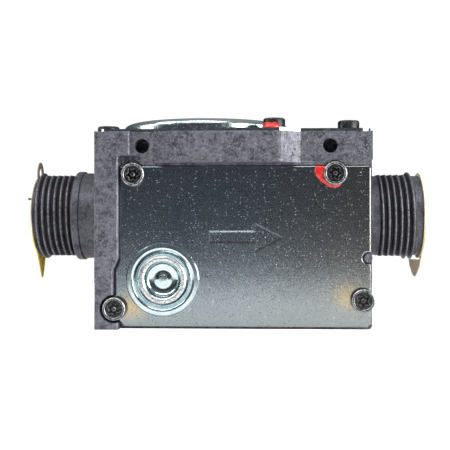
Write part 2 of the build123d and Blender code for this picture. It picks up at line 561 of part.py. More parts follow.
# ---- coils: a bobbin and a winding for each solenoid ----
for name, centre in (("safety", SAFETY), ("pilot", PILOT)):
    with BuildPart() as bobbin:
        rod(centre, 11.5, BOBBIN_Y0, BOBBIN_Y1)
        with BuildSketch(front(BOBBIN_Y0 + 1.2)):
            with Locations(centre):
                Circle(11.5)
                Circle(6.8, mode=Mode.SUBTRACT)
        extrude(amount=-(BOBBIN_Y1 - BOBBIN_Y0 - 2.4), mode=Mode.SUBTRACT)
        rod(centre, TUBE_R + 0.15, BOBBIN_Y0, BOBBIN_Y1, Mode.SUBTRACT)
    save(bobbin, f"{name}_coil_bobbin")
    with BuildPart() as winding:
        rod(centre, 11.0, BOBBIN_Y0 + 1.25, BOBBIN_Y1 - 1.25)
        rod(centre, 6.85, BOBBIN_Y0 + 1.25, BOBBIN_Y1 - 1.25, Mode.SUBTRACT)
    save(winding, f"{name}_coil_winding")

# ---- magnet yoke: a steel strip bent round both coils ----
with BuildPart() as magnet_yoke:
    block(26.0, 54.4, YOKE_Y0, YOKE_Y1, -30.2, 19.6)
    block(26.0, 52.4, YOKE_Y0 + YOKE_WALL, YOKE_Y1 - YOKE_WALL, -30.2, 19.6, Mode.SUBTRACT)
    for centre in (SAFETY, PILOT):
        rod(centre, TUBE_R + 0.15, YOKE_Y0, YOKE_Y1, Mode.SUBTRACT)
save(magnet_yoke, "magnet_yoke")

# ---- solenoid housing: moulded shell with a plug socket ----
with BuildPart() as solenoid_housing:
    with BuildSketch(front(HOUSING_Y0)):
        with Locations(((HOUSING_X0 + HOUSING_X1) / 2, (HOUSING_Z0 + HOUSING_Z1) / 2)):
            RectangleRounded(HOUSING_X1 - HOUSING_X0, HOUSING_Z1 - HOUSING_Z0, 3.5)
    extrude(amount=-(HOUSING_Y1 - HOUSING_Y0))
    fillet(solenoid_housing.faces().sort_by(Axis.Y)[-1].edges(), 2.0)
    with BuildSketch(front(HOUSING_Y0)):
        with Locations(((HOUSING_X0 + HOUSING_X1) / 2, (HOUSING_Z0 + HOUSING_Z1) / 2)):
            RectangleRounded(HOUSING_X1 - HOUSING_X0 - 2 * HOUSING_WALL,
                             HOUSING_Z1 - HOUSING_Z0 - 2 * HOUSING_WALL, 1.5)
    extrude(amount=-(HOUSING_Y1 - HOUSING_Y0 - HOUSING_WALL), mode=Mode.SUBTRACT)
    # socket shroud, open to the rear
    block(SOCKET_X - 7.0, SOCKET_X + 7.0, HOUSING_Y1 - 1.0, SOCKET_Y1, SOCKET_Z - 6.5, SOCKET_Z + 6.5)
    block(SOCKET_X - 5.8, SOCKET_X + 5.8, HOUSING_Y1, SOCKET_Y1, SOCKET_Z - 5.3, SOCKET_Z + 5.3, Mode.SUBTRACT)
    for centre in (SAFETY, PILOT):
        rod(centre, 2.8, HOUSING_Y1 - 3.0, HOUSING_Y1, Mode.SUBTRACT)
    with BuildSketch(front(HOUSING_Y1 - 3.0)):
        with Locations((SOCKET_X, SOCKET_Z)):
            with GridLocations(5.0, 5.0, 2, 2):
                Rectangle(0.9, 0.9)
    extrude(amount=-3.0, mode=Mode.SUBTRACT)
    # cooling ribs on the two long sides
    for x0, x1 in ((HOUSING_X0 - 0.6, HOUSING_X0 + 0.5), (HOUSING_X1 - 0.5, HOUSING_X1 + 0.6)):
        for i in range(5):
            block(x0, x1, 42.0 + 5.4 * i, 44.0 + 5.4 * i, HOUSING_Z0 + 6, HOUSING_Z1 - 6)
save(solenoid_housing, "solenoid_housing")

with BuildPart() as solenoid_terminals:
    with BuildSketch(front(66.0 + YOKE_WALL)):
        with Locations((SOCKET_X, SOCKET_Z)):
            with GridLocations(5.0, 5.0, 2, 2):
                Rectangle(0.8, 0.8)
    extrude(amount=-7.0)
save(solenoid_terminals, "solenoid_terminals")

with BuildPart() as solenoid_nuts:
    for centre in (SAFETY, PILOT):
        with BuildSketch(front(HOUSING_Y1)):
            with Locations(centre):
                RegularPolygon(4.0, 6, major_radius=False)
                Circle(2.5, mode=Mode.SUBTRACT)
        extrude(amount=-3.6)
save(solenoid_nuts, "solenoid_nuts")

# ---- modulating regulator ----
with BuildPart() as modulator_base:
    with BuildSketch(front(REAR_Y)):
        with Locations(MODULATOR):
            RectangleRounded(34.0, 34.0, 4.0)
    extrude(amount=-(BASE_Y1 - REAR_Y))
    rod(MODULATOR, 4.0, REAR_Y, BASE_Y1, Mode.SUBTRACT)
    rod(MODULATOR, REGULATOR_ROOM_R - 2, REAR_Y, REAR_Y + 1.5, Mode.SUBTRACT)
    for dx, dz in ((-1, -1), (-1, 1), (1, -1), (1, 1)):
        centre = (MODULATOR[0] + dx * BASE_SCREW_SPAN / 2, MODULATOR[1] + dz * BASE_SCREW_SPAN / 2)
        rod(centre, SHANK_HOLE_R, REAR_Y, BASE_Y1, Mode.SUBTRACT)
        rod(centre, HEAD_R + 0.1, REAR_Y + 3.0, BASE_Y1, Mode.SUBTRACT)
save(modulator_base, "modulator_base")


def rear_plane(x, y, z):
    """Location whose z axis points to the rear, for screws that are driven from behind."""
    return Plane(origin=(x, y, z), x_dir=(-1, 0, 0), z_dir=(0, 1, 0)).location


base_screw = star_screw(3.0, 2.4, 8.0)
with BuildPart() as modulator_screws:
    with Locations(*[
        rear_plane(MODULATOR[0] + dx * BASE_SCREW_SPAN / 2, REAR_Y + 3.0, MODULATOR[1] + dz * BASE_SCREW_SPAN / 2)
        for dx, dz in ((-1, -1), (-1, 1), (1, -1), (1, 1))
    ]):
        add(base_screw)
save(modulator_screws, "modulator_screws")

with BuildPart() as regulator_diaphragm:
    rod(MODULATOR, REGULATOR_ROOM_R - 0.2, 36.9, 37.9)
    for y0, y1 in ((36.9, 37.2), (37.6, 37.9)):
        rod(MODULATOR, REGULATOR_ROOM_R - 2.5, y0, y1, Mode.SUBTRACT)
save(regulator_diaphragm, "regulator_diaphragm")

with BuildPart() as modulator_can:
    rod(MODULATOR, CAN_R, BASE_Y1, CAN_Y1)
    fillet(modulator_can.edges().filter_by(GeomType.CIRCLE).sort_by(Axis.Y)[-1], 1.2)
    rod(MODULATOR, CAN_R - 1.2, BASE_Y1, CAN_Y1 - 1.2, Mode.SUBTRACT)
    rod(MODULATOR, NECK_R, CAN_Y1 - 1.2, NECK_Y1)
    rod(MODULATOR, ADJUSTER_R + 0.05, CAN_Y1 - 1.2, NECK_Y1, Mode.SUBTRACT)
    block(MODULATOR[0] - 4, MODULATOR[0] + 4, 46.0, 55.0, -19.0, -10.0, Mode.SUBTRACT)
save(modulator_can, "modulator_can")

with BuildPart() as modulator_guide:
    rod(MODULATOR, 5.6, BASE_Y1 + 0.1, CAN_Y1 - 1.4)
    rod(MODULATOR, 4.57, BASE_Y1 + 0.1, CAN_Y1 - 1.4, Mode.SUBTRACT)
save(modulator_guide, "modulator_guide")

with BuildPart() as modulator_winding:
    rod(MODULATOR, 11.6, 44.0, 59.5)
    rod(MODULATOR, 5.7, 44.0, 59.5, Mode.SUBTRACT)
save(modulator_winding, "modulator_winding")

with BuildPart() as modulator_plunger:
    rod(MODULATOR, 4.5, MODULATOR_PLUNGER_Y0, MODULATOR_PLUNGER_Y1)
    chamfer(modulator_plunger.edges().filter_by(GeomType.CIRCLE), 0.4)
    rod(MODULATOR, 1.2, 38.5, MODULATOR_PLUNGER_Y0)
save(modulator_plunger, "modulator_plunger")

with BuildPart() as modulator_terminal_block:
    block(MODULATOR[0] - 7, MODULATOR[0] + 7, 45.0, 56.0, -23.4, -18.2)
    block(MODULATOR[0] - 3.8, MODULATOR[0] + 3.8, 46.2, 54.8, -18.2, -15.2)
    fillet(modulator_terminal_block.faces().sort_by(Axis.Z)[0].edges().filter_by(Axis.Y), 1.2)
save(modulator_terminal_block, "modulator_terminal_block")

with BuildPart() as modulator_terminals:
    for x in (MODULATOR[0] - 3.6, MODULATOR[0] + 3.6):
        block(x - 2.4, x + 2.4, 56.0, 63.5, -21.2, -20.4)
save(modulator_terminals, "modulator_terminals")

with BuildPart() as max_pressure_nut:
    rod(MODULATOR, ADJUSTER_R, CAN_Y1 - 1.2, NECK_Y1 + 0.3)
    with BuildSketch(front(NECK_Y1 + 0.3)):
        with Locations(MODULATOR):
            RegularPolygon(6.0, 6, major_radius=False)
    extrude(amount=-3.2)
    rod(MODULATOR, MIN_SCREW_R + 0.05, CAN_Y1 - 1.2, NECK_Y1 + 3.5, Mode.SUBTRACT)
save(max_pressure_nut, "max_pressure_nut")

with BuildPart() as min_pressure_screw:
    rod(MODULATOR, MIN_SCREW_R, CAN_Y1 - 0.8, NECK_Y1 + 5.0)
    block(MODULATOR[0] - 0.4, MODULATOR[0] + 0.4, NECK_Y1 + 3.9, NECK_Y1 + 5.0, -6.0, 0.0, Mode.SUBTRACT)
save(min_pressure_screw, "min_pressure_screw")

with BuildPart() as modulator_cap:
    rod(MODULATOR, NECK_R + 0.05 + CAP_WALL, CAP_Y0, CAP_Y1)
    fillet(modulator_cap.edges().filter_by(GeomType.CIRCLE).sort_by(Axis.Y)[-1], 1.5)
    rod(MODULATOR, NECK_R + 0.05, CAP_Y0, CAP_Y1 - CAP_WALL, Mode.SUBTRACT)
    with BuildSketch(front(CAP_Y0)):
        with Locations(MODULATOR):
            Circle(NECK_R + 0.05 + CAP_WALL + 0.8)
            Circle(NECK_R + 0.05, mode=Mode.SUBTRACT)
    extrude(amount=-1.4)
    with BuildSketch(front(CAP_Y0 + 2.4)):
        with Locations(MODULATOR):
            with PolarLocations(NECK_R + CAP_WALL, 18):
                Circle(0.45)
            Circle(NECK_R + 0.3, mode=Mode.SUBTRACT)
    extrude(amount=-7.0)
save(modulator_cap, "modulator_cap")

# ---- pressure test nipples and their sealing screws ----
for name, centre in NIPPLES.items():
    with BuildPart() as nipple:
        rod(centre, 3.45, 34.0, REAR_Y)
        rod(centre, 5.4, REAR_Y, REAR_Y + 1.5)
        rod(centre, NIPPLE_R - 0.7, REAR_Y + 1.5, REAR_Y + 3.0)
        rod(centre, NIPPLE_R, REAR_Y + 3.0, NIPPLE_Y1)
        chamfer(nipple.edges().filter_by(GeomType.CIRCLE).sort_by(Axis.Y)[-1], 0.8)
        rod(centre, 1.0, 34.0, REAR_Y + 4.0, Mode.SUBTRACT)
        rod(centre, 1.97, REAR_Y + 4.0, NIPPLE_Y1, Mode.SUBTRACT)
    save(nipple, f"{name}_nipple")
    with BuildPart() as tap_screw:
        rod(centre, 1.9, REAR_Y + 4.3, NIPPLE_Y1)
        rod(centre, 3.0, NIPPLE_Y1 + 0.05, NIPPLE_Y1 + 2.0)
        rod(centre, 1.9, NIPPLE_Y1 - 0.5, NIPPLE_Y1 + 0.5)
        block(centre[0] - 0.5, centre[0] + 0.5, NIPPLE_Y1 + 1.0, NIPPLE_Y1 + 2.0,
              centre[1] - 4, centre[1] + 4, Mode.SUBTRACT)
    save(tap_screw, f"{name}_screw")

# ---- inlet strainer: a perforated disc in a ring, inside the inlet port ----
with BuildPart() as inlet_strainer:
    with BuildSketch(Plane.YZ.offset(24.0)):
        Circle(PORT_BORE_R - 0.05)
        with HexLocations(1.25, 7, 7):
            Circle(0.85, mode=Mode.SUBTRACT)
    extrude(amount=0.6)
    with BuildSketch(Plane.YZ.offset(24.6)):
        Circle(PORT_BORE_R - 0.05)
        Circle(PORT_BORE_R - 1.2, mode=Mode.SUBTRACT)
    extrude(amount=3.0)
save(inlet_strainer, "inlet_strainer")

# ---- plug of the servo channel, in the body's right side ----
with BuildPart() as channel_plug:
    with BuildSketch(Plane.YZ.offset(BODY_X1)):
        with Locations((24.0, 17.0)):
            Circle(2.4)
    extrude(amount=0.8)
save(channel_plug, "channel_plug")


def dust_seal(x0, thick, radius, tab):
    """Die-cut sheet over a port, with a loop and a tab if given the tab's outline. Negative thick builds to -X."""
    with BuildPart() as seal:
        with BuildSketch(Plane.YZ.offset(x0)):
            Circle(radius)
            if tab:
                with BuildLine():
                    Polyline(*tab, close=True)
                make_face()
                with Locations((-0.8, 13.0)):
                    Circle(3.5)
                    Circle(1.6, mode=Mode.SUBTRACT)
        extrude(amount=thick)
    return seal


# the inlet's has a finger loop above, a pointed tab below and a pip on its face
INLET_TAB = [(-9.5, -4.0), (-6.6, -9.4), (-2.6, -14.2), (0.6, -18.9), (1.4, -19.4), (2.3, -18.7),
             (4.4, -14.6), (5.6, -10.0), (9.5, -4.0)]
INLET_SEAL_R, INLET_SEAL_THICK = 12.1, 0.3
with BuildPart() as inlet_dust_seal:
    add(dust_seal(-SEAL_GAP, -INLET_SEAL_THICK, INLET_SEAL_R, INLET_TAB).part)
    block(-SEAL_GAP - INLET_SEAL_THICK - 2.2, -SEAL_GAP - INLET_SEAL_THICK, -6.6, -5.4, 4.7, 5.3)
save(inlet_dust_seal, "inlet_dust_seal")

# the outlet's tongue is twisted inwards below the port
TONGUE_ANGLE = radians(17)
tongue_plane = Plane(
    (LENGTH + 0.4, -4.5, 0),
    x_dir=(-sin(TONGUE_ANGLE), cos(TONGUE_ANGLE), 0),
    z_dir=(cos(TONGUE_ANGLE), sin(TONGUE_ANGLE), 0),
)
with BuildPart() as outlet_dust_seal:
    add(dust_seal(LENGTH + SEAL_GAP, SEAL_THICK, SEAL_R, None).part)
    with BuildSketch(tongue_plane):
        with BuildLine():
            Polyline(
                (-0.6, -11.7), (0.2, -11.7), (0.4, -12.9), (0.8, -13.35), (7.7, -13.4), (7.1, -15.4),
                (5.2, -18.0), (3.9, -18.65), (2.6, -18.2), (0.4, -15.4), (-0.6, -12.5), close=True,
            )
        make_face()
    extrude(amount=0.15, both=True)
save(outlet_dust_seal, "outlet_dust_seal")
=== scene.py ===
"""Looks of the gas valve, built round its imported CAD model. Metres, in the row frame."""

import json
import math

import bmesh
import bpy
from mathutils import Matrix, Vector, noise
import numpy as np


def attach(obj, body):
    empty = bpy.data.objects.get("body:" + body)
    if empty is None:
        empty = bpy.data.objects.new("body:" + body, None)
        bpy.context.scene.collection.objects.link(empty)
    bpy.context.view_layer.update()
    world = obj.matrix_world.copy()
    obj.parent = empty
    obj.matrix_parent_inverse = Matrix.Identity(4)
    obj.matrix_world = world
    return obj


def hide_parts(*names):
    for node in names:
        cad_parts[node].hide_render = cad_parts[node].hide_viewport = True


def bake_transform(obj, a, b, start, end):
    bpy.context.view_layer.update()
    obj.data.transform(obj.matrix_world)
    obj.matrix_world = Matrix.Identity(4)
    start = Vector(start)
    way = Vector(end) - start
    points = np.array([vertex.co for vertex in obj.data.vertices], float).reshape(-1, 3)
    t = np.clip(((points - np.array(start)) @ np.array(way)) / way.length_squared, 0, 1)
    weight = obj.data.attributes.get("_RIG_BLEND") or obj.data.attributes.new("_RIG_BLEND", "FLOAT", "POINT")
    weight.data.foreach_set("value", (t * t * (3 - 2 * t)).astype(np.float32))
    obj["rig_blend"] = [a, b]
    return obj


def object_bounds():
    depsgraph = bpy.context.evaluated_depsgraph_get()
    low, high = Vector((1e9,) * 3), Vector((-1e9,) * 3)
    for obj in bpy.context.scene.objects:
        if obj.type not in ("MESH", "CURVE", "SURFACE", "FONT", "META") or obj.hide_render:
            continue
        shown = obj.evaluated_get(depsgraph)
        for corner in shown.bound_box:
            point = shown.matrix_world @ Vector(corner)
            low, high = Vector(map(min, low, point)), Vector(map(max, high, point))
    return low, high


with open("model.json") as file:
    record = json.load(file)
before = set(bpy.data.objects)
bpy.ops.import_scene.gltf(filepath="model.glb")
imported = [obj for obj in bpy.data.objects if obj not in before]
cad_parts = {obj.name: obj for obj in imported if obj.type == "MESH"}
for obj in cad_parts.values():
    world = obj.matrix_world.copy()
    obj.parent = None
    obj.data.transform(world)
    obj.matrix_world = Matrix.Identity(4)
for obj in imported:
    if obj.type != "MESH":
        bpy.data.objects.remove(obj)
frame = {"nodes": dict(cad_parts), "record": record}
NODES = frame["nodes"]
CAD_LOW, CAD_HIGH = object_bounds()
MM = 0.001
BODY_LENGTH = 115.7 * MM
CUP_X, CUP_Z = 39.8 * MM, -18.7 * MM


# ---- materials ----


class Paint:
    """A procedural material in the making. Its patterns run on object coordinates, so sizes are in metres."""

    def __init__(self, name, metallic=0.0, coat=0.0, specular=0.5):
        self.material = bpy.data.materials.new(name)
        self.material.use_nodes = True
        self.tree = self.material.node_tree
        self.shader = self.tree.nodes["Principled BSDF"]
        self.shader.inputs["Metallic"].default_value = metallic
        self.shader.inputs["Coat Weight"].default_value = coat
        self.shader.inputs["Specular IOR Level"].default_value = specular
        self.place = self.node("ShaderNodeTexCoord").outputs["Object"]
        self.normal = None

    def node(self, kind, **settings):
        made = self.tree.nodes.new(kind)
        for name, value in settings.items():
            setattr(made, name, value)
        return made

    def feed(self, socket, value):
        """Link an output to a socket, or set the socket to a plain value."""
        if isinstance(value, bpy.types.NodeSocket):
            self.tree.links.new(value, socket)
        elif isinstance(value, tuple) and len(value) == 3 and len(socket.default_value) == 4:
            socket.default_value = (*value, 1.0)
        else:
            socket.default_value = value

    def stretched(self, stretch):
        """Object coordinates scaled per axis: a small factor draws a pattern out along that axis."""
        scaled = self.node("ShaderNodeVectorMath", operation="MULTIPLY")
        self.feed(scaled.inputs[0], self.place)
        scaled.inputs[1].default_value = stretch
        return scaled.outputs[0]

    def noise(self, size, detail=3.0, roughness=0.55, stretch=None, distortion=0.0):
        """Cloudy noise with features of about the given size, from 0 to 1."""
        made = self.node("ShaderNodeTexNoise")
        self.feed(made.inputs["Vector"], self.stretched(stretch) if stretch else self.place)
        made.inputs["Scale"].default_value = 1 / size
        made.inputs["Detail"].default_value = detail
        made.inputs["Roughness"].default_value = roughness
        made.inputs["Distortion"].default_value = distortion
        return made.outputs["Fac"]

    def cells(self, size, output="Distance", stretch=None):
        """Random cells of about the given size."""
        made = self.node("ShaderNodeTexVoronoi")
        self.feed(made.inputs["Vector"], self.stretched(stretch) if stretch else self.place)
        made.inputs["Scale"].default_value = 1 / size
        return made.outputs[output]

    def span(self, value, low, high, to_low=0.0, to_high=1.0):
        """Map low..high to to_low..to_high, held at the ends."""
        made = self.node("ShaderNodeMapRange")
        self.feed(made.inputs["Value"], value)
        for name, number in (("From Min", low), ("From Max", high), ("To Min", to_low), ("To Max", to_high)):
            made.inputs[name].default_value = number
        return made.outputs["Result"]

    def maths(self, operation, a, b):
        made = self.node("ShaderNodeMath", operation=operation)
        self.feed(made.inputs[0], a)
        self.feed(made.inputs[1], b)
        return made.outputs[0]

    def mix(self, factor, a, b, blend="MIX"):
        """Mix two colours."""
        made = self.node("ShaderNodeMix", data_type="RGBA", blend_type=blend)
        self.feed(made.inputs[0], factor)
        self.feed(made.inputs[6], a)
        self.feed(made.inputs[7], b)
        return made.outputs[2]

    def off_axis(self, keep, centre):
        """Distance from a line through centre. keep is 0 along the line's axis and 1 across it."""
        moved = self.node("ShaderNodeVectorMath", operation="SUBTRACT")
        self.feed(moved.inputs[0], self.place)
        moved.inputs[1].default_value = centre
        flat = self.node("ShaderNodeVectorMath", operation="MULTIPLY")
        self.feed(flat.inputs[0], moved.outputs[0])
        flat.inputs[1].default_value = keep
        length = self.node("ShaderNodeVectorMath", operation="LENGTH")
        self.feed(length.inputs[0], flat.outputs[0])
        return length.outputs["Value"]

    def near(self, point, inner, outer):
        """1 within inner of a point, falling to 0 at outer."""
        made = self.node("ShaderNodeVectorMath", operation="DISTANCE")
        self.feed(made.inputs[0], self.place)
        made.inputs[1].default_value = point
        return self.span(made.outputs["Value"], inner, outer, 1.0, 0.0)

    def axis(self, name):
        """One coordinate, in metres."""
        made = self.node("ShaderNodeSeparateXYZ")
        self.feed(made.inputs[0], self.place)
        return made.outputs[name]

    def bump(self, height, depth):
        """Raise the surface by up to depth metres where height is 1. Calls add up."""
        made = self.node("ShaderNodeBump")
        made.inputs["Strength"].default_value = 1.0
        made.inputs["Distance"].default_value = depth
        self.feed(made.inputs["Height"], height)
        if self.normal is not None:
            self.feed(made.inputs["Normal"], self.normal)
        self.normal = made.outputs["Normal"]

    def facets(self, size, tilt, where=1.0):
        """Tilt the surface at random, cell by cell, as the crystals of a zinc coat do."""
        centred = self.node("ShaderNodeVectorMath", operation="SUBTRACT")
        self.feed(centred.inputs[0], self.cells(size, "Color"))
        centred.inputs[1].default_value = (0.5, 0.5, 0.5)
        scaled = self.node("ShaderNodeVectorMath", operation="SCALE")
        self.feed(scaled.inputs[0], centred.outputs[0])
        self.feed(scaled.inputs["Scale"], self.maths("MULTIPLY", where, tilt))
        added = self.node("ShaderNodeVectorMath", operation="ADD")
        self.feed(added.inputs[0], self.normal or self.node("ShaderNodeNewGeometry").outputs["Normal"])
        self.feed(added.inputs[1], scaled.outputs[0])
        unit = self.node("ShaderNodeVectorMath", operation="NORMALIZE")
        self.feed(unit.inputs[0], added.outputs[0])
        self.normal = unit.outputs[0]

    def done(self, colour, roughness):
        self.feed(self.shader.inputs["Base Color"], colour)
        self.feed(self.shader.inputs["Roughness"], roughness)
        if self.normal is not None:
            self.feed(self.shader.inputs["Normal"], self.normal)
        return self.material


def cast_aluminium():
    """Die-cast skin: dark mottled grey with flow marks, pits and pale flecks; painted shade darkens the port
    grooves, and the crests are lighter as rubbed wear and painted highlight.
    """
    p = Paint("cast_aluminium", metallic=0.55, specular=0.5)
    cloud = p.noise(7 * MM, detail=5, roughness=0.6, distortion=0.8)
    blotch = p.noise(1.7 * MM, detail=4, roughness=0.7, distortion=0.4)
    grain = p.noise(0.6 * MM, detail=3, roughness=0.75)
    base = p.mix(p.span(cloud, 0.36, 0.66), (0.062, 0.062, 0.076), (0.125, 0.125, 0.150))
    base = p.mix(p.span(blotch, 0.40, 0.68, 0.0, 0.8), base, (0.20, 0.20, 0.235))
    base = p.mix(p.span(blotch, 0.46, 0.34, 0.0, 0.75), base, (0.028, 0.028, 0.038))
    base = p.mix(p.span(grain, 0.52, 0.70, 0.0, 0.7), base, (0.36, 0.36, 0.395))
    pits = p.span(p.noise(0.8 * MM, detail=2, roughness=0.5), 0.63, 0.70)
    base = p.mix(p.maths("MULTIPLY", pits, 0.8), base, (0.02, 0.02, 0.026))
    flecks = p.maths("MULTIPLY", p.span(p.cells(0.8 * MM), 0.16, 0.07), p.span(cloud, 0.36, 0.6, 0.05, 0.7))
    base = p.mix(flecks, base, (0.62, 0.62, 0.66))
    # the ports are made darker all over; painted shade darkens their thread grooves, more the deeper they
    # lie, and their crests are lighter as rubbed wear and painted highlight
    from_axis = p.off_axis((0, 1, 1), (0, 0, 0))
    along = p.axis("X")
    port = p.maths("MAXIMUM", p.span(along, 20.6 * MM, 20.0 * MM), p.span(along, 99.9 * MM, 100.4 * MM))
    base = p.mix(p.maths("MULTIPLY", port, 0.5), base, (0.045, 0.045, 0.052))
    inlet = p.maths("MULTIPLY", p.span(along, 0.4 * MM, 1.0 * MM), p.span(along, 11.8 * MM, 11.4 * MM))
    outlet = p.maths("MULTIPLY", p.span(along, 103.0 * MM, 103.4 * MM), p.span(along, 113.4 * MM, 112.8 * MM))
    threaded = p.maths("MAXIMUM", inlet, outlet)
    # painted shade: the thread grooves darken the deeper they lie
    groove_shade = p.maths("MULTIPLY", threaded, p.span(from_axis, 12.95 * MM, 12.3 * MM))
    base = p.mix(p.maths("MULTIPLY", groove_shade, 0.85), base, (0.008, 0.008, 0.011))
    # crests made lighter: partly rubbed wear, partly painted highlight
    crest = p.maths("MULTIPLY", threaded, p.span(from_axis, 12.95 * MM, 13.2 * MM))
    wear_and_highlight = p.maths("MULTIPLY", crest, p.span(grain, 0.42, 0.62, 0.02, 0.6))
    base = p.mix(wear_and_highlight, base, (0.36, 0.36, 0.39))
    p.bump(cloud, 0.10 * MM)
    p.bump(blotch, 0.16 * MM)
    p.bump(grain, 0.08 * MM)
    p.bump(p.maths("MULTIPLY", pits, -1.0), 0.08 * MM)
    rough = p.span(grain, 0.3, 0.7, 0.36, 0.56)
    return p.done(base, p.maths("SUBTRACT", rough, p.maths("MULTIPLY", crest, 0.1)))


def zinc_plate():
    """Passivated zinc on pressed sheet: blue-grey with a sparkling grain, warm stains by two screws,
    a burnished cup with a frosted crest."""
    p = Paint("zinc_plate", metallic=1.0)
    cup = p.off_axis((1, 0, 1), (CUP_X, 0, CUP_Z))
    sheet = p.span(cup, 10.3 * MM, 10.7 * MM)
    cloud = p.noise(14 * MM, detail=3)
    base = p.mix(p.span(cloud, 0.3, 0.7), (0.30, 0.36, 0.42), (0.37, 0.425, 0.465))
    base = p.mix(p.span(p.axis("X"), 62 * MM, 99 * MM, 0.0, 0.75), base, (0.385, 0.36, 0.32))
    base = p.mix(p.span(p.axis("Z"), -10 * MM, -32 * MM, 0.0, 0.85), base, (0.285, 0.31, 0.30))
    grain = p.noise(0.34 * MM, detail=2, roughness=0.6)
    speck = p.noise(0.45 * MM, detail=3, roughness=0.75)
    base = p.mix(p.span(grain, 0.42, 0.72, 0.0, 0.30), base, (0.24, 0.27, 0.30))
    scuffs = p.span(p.noise(0.9 * MM, detail=1, stretch=(1.0, 1.0, 0.28), distortion=1.2), 0.735, 0.76)
    scuffed = p.near((64 * MM, -18.5 * MM, -22 * MM), 2 * MM, 13 * MM)
    base = p.mix(p.maths("MULTIPLY", scuffs, p.maths("MAXIMUM", p.maths("MULTIPLY", scuffed, 0.9), 0.25)),
                 base, (0.88, 0.90, 0.92))
    for x, z in ((31.0, -26.0), (93.0, -23.0)):
        stain = p.maths("MULTIPLY", p.near((x * MM, -18.5 * MM, z * MM), 1 * MM, 5.5 * MM),
                        p.span(cloud, 0.3, 0.6, 0.45, 0.9))
        base = p.mix(stain, base, (0.56, 0.455, 0.27))
    haze = p.noise(1.5 * MM, detail=3, roughness=0.6)
    rings = p.span(p.maths("PINGPONG", cup, 0.35 * MM), 0.0, 0.35 * MM)
    burnished = p.mix(p.span(haze, 0.35, 0.7), (0.50, 0.62, 0.65), (0.72, 0.80, 0.81))
    burnished = p.mix(p.maths("MULTIPLY", rings, 0.2), burnished, (0.30, 0.38, 0.40))
    frosted = p.mix(p.span(speck, 0.40, 0.60), (0.30, 0.30, 0.30), (0.95, 0.96, 0.95))
    crest = p.maths("MULTIPLY", p.span(cup, 5.3 * MM, 5.7 * MM), p.span(cup, 7.1 * MM, 6.6 * MM))
    base = p.mix(sheet, p.mix(crest, burnished, frosted), base)
    p.bump(p.noise(5 * MM, detail=2), 0.010 * MM)
    p.bump(p.maths("MULTIPLY", crest, speck), 0.06 * MM)
    p.bump(rings, 0.004 * MM)
    p.facets(0.42 * MM, 0.010, sheet)
    p.facets(0.25 * MM, 0.022, sheet)
    sparkle = p.span(p.cells(0.62 * MM), 0.20, 0.12)
    p.facets(0.62 * MM, 1.1, p.maths("MULTIPLY", sheet, sparkle))
    rough = p.mix(sheet, p.mix(crest, (0.13, 0.13, 0.13), (0.36, 0.36, 0.36)), (0.19, 0.19, 0.19))
    return p.done(base, p.maths("ADD", rough, p.span(grain, 0.3, 0.7, -0.02, 0.04)))


def bright_zinc():
    """Bright passivated zinc: nearly a mirror, with a faint green and blue bloom."""
    p = Paint("bright_zinc", metallic=1.0)
    bloom = p.noise(11 * MM, detail=2)
    base = p.mix(p.span(bloom, 0.35, 0.65), (0.60, 0.70, 0.66), (0.64, 0.71, 0.78))
    haze = p.noise(1.2 * MM, detail=4, roughness=0.7)
    base = p.mix(p.span(haze, 0.5, 0.75, 0.0, 0.5), base, (0.42, 0.48, 0.46))
    p.bump(p.noise(4 * MM, detail=2), 0.03 * MM)
    p.bump(haze, 0.006 * MM)
    return p.done(base, p.span(haze, 0.35, 0.75, 0.12, 0.34))


def black_screw():
    """Blackened steel with a greasy sheen."""
    p = Paint("black_screw", metallic=0.6)
    blotch = p.noise(0.8 * MM, detail=4, roughness=0.7)
    base = p.mix(p.span(blotch, 0.5, 0.75), (0.018, 0.018, 0.020), (0.085, 0.085, 0.09))
    p.bump(blotch, 0.02 * MM)
    return p.done(base, p.span(blotch, 0.3, 0.7, 0.24, 0.45))


def worn_and_highlit_screw():
    """The same steel where tools and hands have rubbed the black away; on the head's edges it is also a
    painted highlight.
    """
    p = Paint("worn_and_highlit_screw", metallic=0.9)
    wear_and_highlight = p.noise(0.55 * MM, detail=3, roughness=0.7)
    base = p.mix(p.span(wear_and_highlight, 0.40, 0.62), (0.09, 0.09, 0.095), (0.62, 0.63, 0.64))
    p.bump(wear_and_highlight, 0.02 * MM)
    return p.done(base, p.span(wear_and_highlight, 0.3, 0.7, 0.25, 0.5))


def red_lacquer():
    """Thick sealing lacquer, glossy and a little uneven."""
    p = Paint("red_lacquer", coat=0.6)
    lump = p.noise(1.3 * MM, detail=2)
    base = p.mix(p.span(lump, 0.35, 0.65), (0.52, 0.010, 0.006), (0.80, 0.022, 0.012))
    p.bump(lump, 0.12 * MM)
    return p.done(base, p.span(lump, 0.3, 0.7, 0.25, 0.4))


def plain_metal(name, dark, light, roughness, size=0.7 * MM, stretch=None, metallic=1.0):
    """A turned, drawn or wound metal: fine marks, drawn out along an axis if stretch says so."""
    p = Paint(name, metallic=metallic)
    marks = p.noise(size, detail=4, roughness=0.65, stretch=stretch)
    base = p.mix(p.span(marks, 0.35, 0.7), dark, light)
    p.bump(marks, 0.012 * MM)
    return p.done(base, p.span(marks, 0.3, 0.7, roughness * 0.8, roughness * 1.25))


def moulded(name, dark, light, roughness, spark=0.5 * MM, depth=0.03 * MM, coat=0.0):
    """A moulded plastic or rubber with a spark-eroded skin."""
    p = Paint(name, coat=coat)
    skin = p.noise(spark, detail=3, roughness=0.7)
    cloud = p.noise(12 * MM, detail=2)
    base = p.mix(p.span(cloud, 0.3, 0.7), dark, light)
    base = p.mix(p.span(skin, 0.5, 0.8, 0.0, 0.25), base, light)
    p.bump(skin, depth)
    return p.done(base, p.span(skin, 0.3, 0.7, roughness * 0.85, roughness * 1.15))


